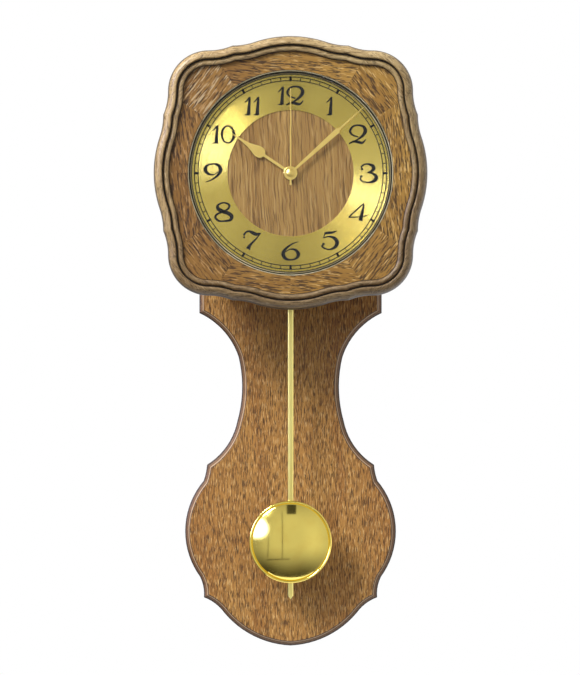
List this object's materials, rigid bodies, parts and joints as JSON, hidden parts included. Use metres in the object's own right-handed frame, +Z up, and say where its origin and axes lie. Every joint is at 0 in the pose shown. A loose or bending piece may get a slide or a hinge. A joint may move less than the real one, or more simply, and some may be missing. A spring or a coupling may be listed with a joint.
{
  "type": "wall clock with pendulum",
  "caption": "Wooden wall clock: a serpentine square head with a brass numeral ring under round glass, above a waisted board with a swinging brass pendulum.",
  "frame": {"origin": "centre of the keyhole's round hole in the hanging plate, in the plane of the wall", "axes": "+Z up, +X to the right as seen from the front, +Y into the wall, so the dial faces -Y"},
  "size_m": [0.2426, 0.0985, 0.5464],
  "materials": {
    "case_wood": "satin lacquer on brown veneer",
    "frame_wood": "satin lacquer on light brown wood",
    "face_veneer": "satin lacquer, grain running round the dial",
    "dial_wood": "fine upright grain, pinkish brown",
    "dial_base": "plain board",
    "ring_brass": "circularly brushed",
    "hand_brass": "polished",
    "bob_brass": "polished, lacquered",
    "rod_brass": "satin",
    "turned_brass": "turned",
    "glass": "clear flat glass",
    "glass_rim": "dark lacquered",
    "steel": "zinc plated",
    "plated_steel": "nickel plated",
    "stator_iron": "soft iron sheet",
    "magnet": "pressed ferrite",
    "felt": "dark felt",
    "rubber": "matt",
    "black_plastic": "fine grained",
    "white_plastic": "natural",
    "gear_plastic": "moulded acetal",
    "copper_wire": "enamelled copper wire",
    "circuit_green": "solder mask",
    "battery_sleeve": "plain sleeve"
  },
  "bodies": {
    "case": {"back_board": "case_wood", "case_left": "case_wood", "case_right": "case_wood", "case_top": "case_wood", "case_bottom": "case_wood", "corner_blocks": "case_wood", "front_frame": "frame_wood", "front_panel": "frame_wood", "face_veneers": "face_veneer", "dial_centre": "dial_wood", "dial_board": "dial_base", "numeral_ring": "ring_brass", "hand_nut": "turned_brass", "brass_washer": "turned_brass", "threaded_bushing": "turned_brass", "dial_glass": "glass", "glass_ring": "glass_rim", "hanger_plate": "steel", "hanger_screws": "steel", "case_screws": "steel", "frame_screws": "steel", "pivot_pin": "steel", "battery_contacts": "plated_steel", "quartz_crystal": "plated_steel", "stator": "stator_iron", "wall_pads": "felt", "rubber_washer": "rubber", "movement_case": "black_plastic", "movement_cover": "black_plastic", "drive_case": "black_plastic", "drive_cover": "black_plastic", "clock_chip": "black_plastic", "train_plate": "white_plastic", "middle_plate": "white_plastic", "coil_bobbin": "white_plastic", "coil_winding": "copper_wire", "drive_coil": "copper_wire", "circuit_board": "circuit_green", "battery": "battery_sleeve"},
    "pendulum": {"pendulum_leader": "white_plastic", "leader_magnet": "magnet", "pendulum_rod": "rod_brass", "bob_clip": "steel", "bob_back": "steel", "bob_shell": "bob_brass"},
    "minute": {"minute_arbor": "turned_brass", "minute_hand": "hand_brass"},
    "hour": {"hour_wheel": "gear_plastic", "hour_hand": "hand_brass"},
    "minute_work": {"minute_wheel": "gear_plastic"},
    "setting": {"setting_knob": "black_plastic"},
    "second": {"second_arbor": "steel", "second_hand": "hand_brass", "second_cap": "hand_brass"},
    "third": {"third_wheel": "gear_plastic"},
    "centre": {"centre_wheel": "gear_plastic"},
    "intermediate": {"intermediate_wheel": "gear_plastic"},
    "rotor_body": {"rotor": "gear_plastic", "rotor_magnet": "magnet"}
  },
  "joints": [
    {"name": "minute_spin", "type": "hinge", "parent": "case", "child": "minute", "pos_m": [0, 0, -0.078], "axis": [0, 1, 0], "continuous": true},
    {"name": "hour_spin", "type": "hinge", "parent": "case", "child": "hour", "pos_m": [0, 0, -0.078], "axis": [0, 1, 0], "continuous": true},
    {"name": "minute_wheel_spin", "type": "hinge", "parent": "case", "child": "minute_work", "pos_m": [-0.00636, 0, -0.07164], "axis": [0, 1, 0], "continuous": true},
    {"name": "setting_spin", "type": "hinge", "parent": "case", "child": "setting", "pos_m": [-0.01273, 0, -0.06527], "axis": [0, 1, 0], "continuous": true},
    {"name": "second_spin", "type": "hinge", "parent": "case", "child": "second", "pos_m": [0, 0, -0.078], "axis": [0, 1, 0], "continuous": true},
    {"name": "third_spin", "type": "hinge", "parent": "case", "child": "third", "pos_m": [-0.00679, 0, -0.08479], "axis": [0, 1, 0], "continuous": true},
    {"name": "centre_spin", "type": "hinge", "parent": "case", "child": "centre", "pos_m": [0, 0, -0.078], "axis": [0, 1, 0], "continuous": true},
    {"name": "intermediate_spin", "type": "hinge", "parent": "case", "child": "intermediate", "pos_m": [0.00864, 0, -0.078], "axis": [0, 1, 0], "continuous": true},
    {"name": "rotor_spin", "type": "hinge", "parent": "case", "child": "rotor_body", "pos_m": [0.0144, 0, -0.08245], "axis": [0, 1, 0], "continuous": true},
    {"name": "pendulum_swing", "type": "hinge", "parent": "case", "child": "pendulum", "pos_m": [0, 0, -0.126], "axis": [0, 1, 0], "range_deg": [-8, 8]}
  ],
  "couplings": [
    {"joint": "minute_wheel_spin", "follows": "minute_spin", "ratio": -0.33333},
    {"joint": "hour_spin", "follows": "minute_spin", "ratio": 0.083333},
    {"joint": "setting_spin", "follows": "minute_spin", "ratio": 1},
    {"joint": "third_spin", "follows": "second_spin", "ratio": -0.125},
    {"joint": "centre_spin", "follows": "second_spin", "ratio": 0.016667},
    {"joint": "intermediate_spin", "follows": "second_spin", "ratio": -5},
    {"joint": "rotor_spin", "follows": "second_spin", "ratio": 30}
  ]
}
